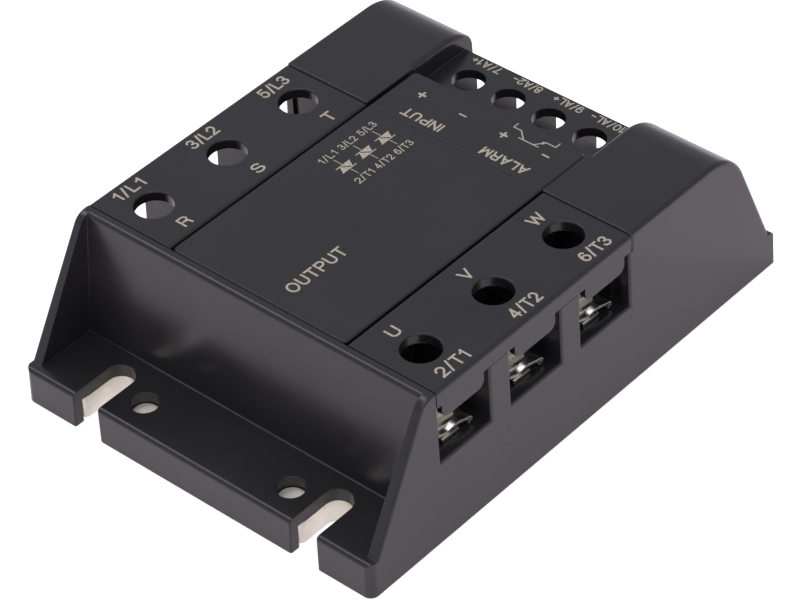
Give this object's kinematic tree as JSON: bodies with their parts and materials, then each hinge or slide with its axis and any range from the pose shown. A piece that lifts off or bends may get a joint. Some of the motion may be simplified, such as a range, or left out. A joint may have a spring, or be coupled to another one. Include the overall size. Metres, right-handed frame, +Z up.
{
  "type": "solid state relay",
  "caption": "Low rectangular three-phase solid state relay with slotted end flanges, side power terminals under lift-off covers and end control terminals.",
  "frame": {"origin": "centre of the base plate's underside, on the mounting surface", "axes": "+Z up from the mounting surface, +Y along the length towards the control terminals, +X across the width towards the load terminals"},
  "size_m": [0.0758, 0.104, 0.0308],
  "materials": {
    "black_plastic": "satin moulded, fine grain",
    "black_panel": "satin",
    "black_cover": "satin moulded",
    "nickel_plate": "nickel plated, lightly brushed",
    "bright_nickel": "bright nickel",
    "nickel_brass": "nickel plated",
    "nickel_clamp": "nickel plated",
    "nickel_washer": "nickel plated",
    "nickel_screw": "nickel plated",
    "zinc_steel": "zinc plated",
    "white_ceramic": "matte",
    "silicon": "polished",
    "tinned_copper": "tinned",
    "potting": "cast",
    "board_green": "solder mask",
    "epoxy_white": "moulded",
    "epoxy_black": "moulded",
    "capacitor_box": "moulded box",
    "resistor_body": "coated",
    "absorber_blue": "dipped"
  },
  "bodies": {
    "relay": {"base_plate": "nickel_plate", "locating_pins": "bright_nickel", "case": "black_plastic", "top_panel": "black_panel", "power_nuts": "zinc_steel", "control_nuts": "zinc_steel", "ceramic_substrate_1": "white_ceramic", "ceramic_substrate_2": "white_ceramic", "ceramic_substrate_3": "white_ceramic", "thyristor_chips": "silicon", "gate_leads": "tinned_copper", "thermal_sensor": "epoxy_black", "potting_compound": "potting", "control_board": "board_green", "opto_couplers": "epoxy_white", "snubber_capacitors": "capacitor_box", "snubber_resistors": "resistor_body", "surge_absorbers": "absorber_blue", "input_regulator": "epoxy_black", "alarm_transistor": "epoxy_black", "line_1_bus": "nickel_brass", "line_2_bus": "nickel_brass", "line_3_bus": "nickel_brass", "load_1_bus": "nickel_brass", "load_2_bus": "nickel_brass", "load_3_bus": "nickel_brass", "control_1_contact": "nickel_brass", "control_2_contact": "nickel_brass", "control_3_contact": "nickel_brass", "control_4_contact": "nickel_brass"},
    "line_1_clamp_body": {"line_1_clamp": "nickel_clamp", "line_1_washer": "nickel_washer"},
    "line_1_screw_body": {"line_1_screw": "nickel_screw"},
    "line_2_clamp_body": {"line_2_clamp": "nickel_clamp", "line_2_washer": "nickel_washer"},
    "line_2_screw_body": {"line_2_screw": "nickel_screw"},
    "line_3_clamp_body": {"line_3_clamp": "nickel_clamp", "line_3_washer": "nickel_washer"},
    "line_3_screw_body": {"line_3_screw": "nickel_screw"},
    "load_1_clamp_body": {"load_1_clamp": "nickel_clamp", "load_1_washer": "nickel_washer"},
    "load_1_screw_body": {"load_1_screw": "nickel_screw"},
    "load_2_clamp_body": {"load_2_clamp": "nickel_clamp", "load_2_washer": "nickel_washer"},
    "load_2_screw_body": {"load_2_screw": "nickel_screw"},
    "load_3_clamp_body": {"load_3_clamp": "nickel_clamp", "load_3_washer": "nickel_washer"},
    "load_3_screw_body": {"load_3_screw": "nickel_screw"},
    "control_1_clamp_body": {"control_1_clamp": "nickel_clamp"},
    "control_1_screw_body": {"control_1_screw": "nickel_screw"},
    "control_2_clamp_body": {"control_2_clamp": "nickel_clamp"},
    "control_2_screw_body": {"control_2_screw": "nickel_screw"},
    "control_3_clamp_body": {"control_3_clamp": "nickel_clamp"},
    "control_3_screw_body": {"control_3_screw": "nickel_screw"},
    "control_4_clamp_body": {"control_4_clamp": "nickel_clamp"},
    "control_4_screw_body": {"control_4_screw": "nickel_screw"},
    "line_cover_body": {"line_terminal_cover": "black_cover"},
    "load_cover_body": {"load_terminal_cover": "black_cover"}
  },
  "joints": [
    {"name": "line_1_lift", "type": "slide", "parent": "relay", "child": "line_1_clamp_body", "axis": [0, 0, 1], "range_m": [-0.00004, 0.00311]},
    {"name": "line_1_turn", "type": "hinge", "parent": "line_1_clamp_body", "child": "line_1_screw_body", "pos_m": [-0.02857, -0.0278, 0.02], "axis": [0, 0, 1], "range_deg": [-21, 1600]},
    {"name": "line_2_lift", "type": "slide", "parent": "relay", "child": "line_2_clamp_body", "axis": [0, 0, 1], "range_m": [-0.00004, 0.00311]},
    {"name": "line_2_turn", "type": "hinge", "parent": "line_2_clamp_body", "child": "line_2_screw_body", "pos_m": [-0.02857, -0.0103, 0.02], "axis": [0, 0, 1], "range_deg": [-21, 1600]},
    {"name": "line_3_lift", "type": "slide", "parent": "relay", "child": "line_3_clamp_body", "axis": [0, 0, 1], "range_m": [-0.00004, 0.00311]},
    {"name": "line_3_turn", "type": "hinge", "parent": "line_3_clamp_body", "child": "line_3_screw_body", "pos_m": [-0.02857, 0.0072, 0.02], "axis": [0, 0, 1], "range_deg": [-21, 1600]},
    {"name": "load_1_lift", "type": "slide", "parent": "relay", "child": "load_1_clamp_body", "axis": [0, 0, 1], "range_m": [-0.00004, 0.00311]},
    {"name": "load_1_turn", "type": "hinge", "parent": "load_1_clamp_body", "child": "load_1_screw_body", "pos_m": [0.02857, -0.0278, 0.02], "axis": [0, 0, 1], "range_deg": [-21, 1600]},
    {"name": "load_2_lift", "type": "slide", "parent": "relay", "child": "load_2_clamp_body", "axis": [0, 0, 1], "range_m": [-0.00004, 0.00311]},
    {"name": "load_2_turn", "type": "hinge", "parent": "load_2_clamp_body", "child": "load_2_screw_body", "pos_m": [0.02857, -0.0103, 0.02], "axis": [0, 0, 1], "range_deg": [-21, 1600]},
    {"name": "load_3_lift", "type": "slide", "parent": "relay", "child": "load_3_clamp_body", "axis": [0, 0, 1], "range_m": [-0.00004, 0.00311]},
    {"name": "load_3_turn", "type": "hinge", "parent": "load_3_clamp_body", "child": "load_3_screw_body", "pos_m": [0.02857, 0.0072, 0.02], "axis": [0, 0, 1], "range_deg": [-21, 1600]},
    {"name": "control_1_lift", "type": "slide", "parent": "relay", "child": "control_1_clamp_body", "axis": [0, 0, 1], "range_m": [-0.00044, 0.00249]},
    {"name": "control_1_turn", "type": "hinge", "parent": "control_1_clamp_body", "child": "control_1_screw_body", "pos_m": [-0.01314, 0.0331, 0.02], "axis": [0, 0, 1], "range_deg": [-320, 1800]},
    {"name": "control_2_lift", "type": "slide", "parent": "relay", "child": "control_2_clamp_body", "axis": [0, 0, 1], "range_m": [-0.00044, 0.00249]},
    {"name": "control_2_turn", "type": "hinge", "parent": "control_2_clamp_body", "child": "control_2_screw_body", "pos_m": [-0.00438, 0.0331, 0.02], "axis": [0, 0, 1], "range_deg": [-320, 1800]},
    {"name": "control_3_lift", "type": "slide", "parent": "relay", "child": "control_3_clamp_body", "axis": [0, 0, 1], "range_m": [-0.00044, 0.00249]},
    {"name": "control_3_turn", "type": "hinge", "parent": "control_3_clamp_body", "child": "control_3_screw_body", "pos_m": [0.00438, 0.0331, 0.02], "axis": [0, 0, 1], "range_deg": [-320, 1800]},
    {"name": "control_4_lift", "type": "slide", "parent": "relay", "child": "control_4_clamp_body", "axis": [0, 0, 1], "range_m": [-0.00044, 0.00249]},
    {"name": "control_4_turn", "type": "hinge", "parent": "control_4_clamp_body", "child": "control_4_screw_body", "pos_m": [0.01314, 0.0331, 0.02], "axis": [0, 0, 1], "range_deg": [-320, 1800]},
    {"name": "line_cover_lift", "type": "slide", "parent": "relay", "child": "line_cover_body", "axis": [0, 0, 1], "range_m": [0, 0.014]},
    {"name": "load_cover_lift", "type": "slide", "parent": "relay", "child": "load_cover_body", "axis": [0, 0, 1], "range_m": [0, 0.014]}
  ],
  "couplings": [
    {"joint": "line_1_turn", "follows": "line_1_lift", "rad_per_m": 8976},
    {"joint": "line_2_turn", "follows": "line_2_lift", "rad_per_m": 8976},
    {"joint": "line_3_turn", "follows": "line_3_lift", "rad_per_m": 8976},
    {"joint": "load_1_turn", "follows": "load_1_lift", "rad_per_m": 8976},
    {"joint": "load_2_turn", "follows": "load_2_lift", "rad_per_m": 8976},
    {"joint": "load_3_turn", "follows": "load_3_lift", "rad_per_m": 8976},
    {"joint": "control_1_turn", "follows": "control_1_lift", "rad_per_m": 12566},
    {"joint": "control_2_turn", "follows": "control_2_lift", "rad_per_m": 12566},
    {"joint": "control_3_turn", "follows": "control_3_lift", "rad_per_m": 12566},
    {"joint": "control_4_turn", "follows": "control_4_lift", "rad_per_m": 12566}
  ]
}
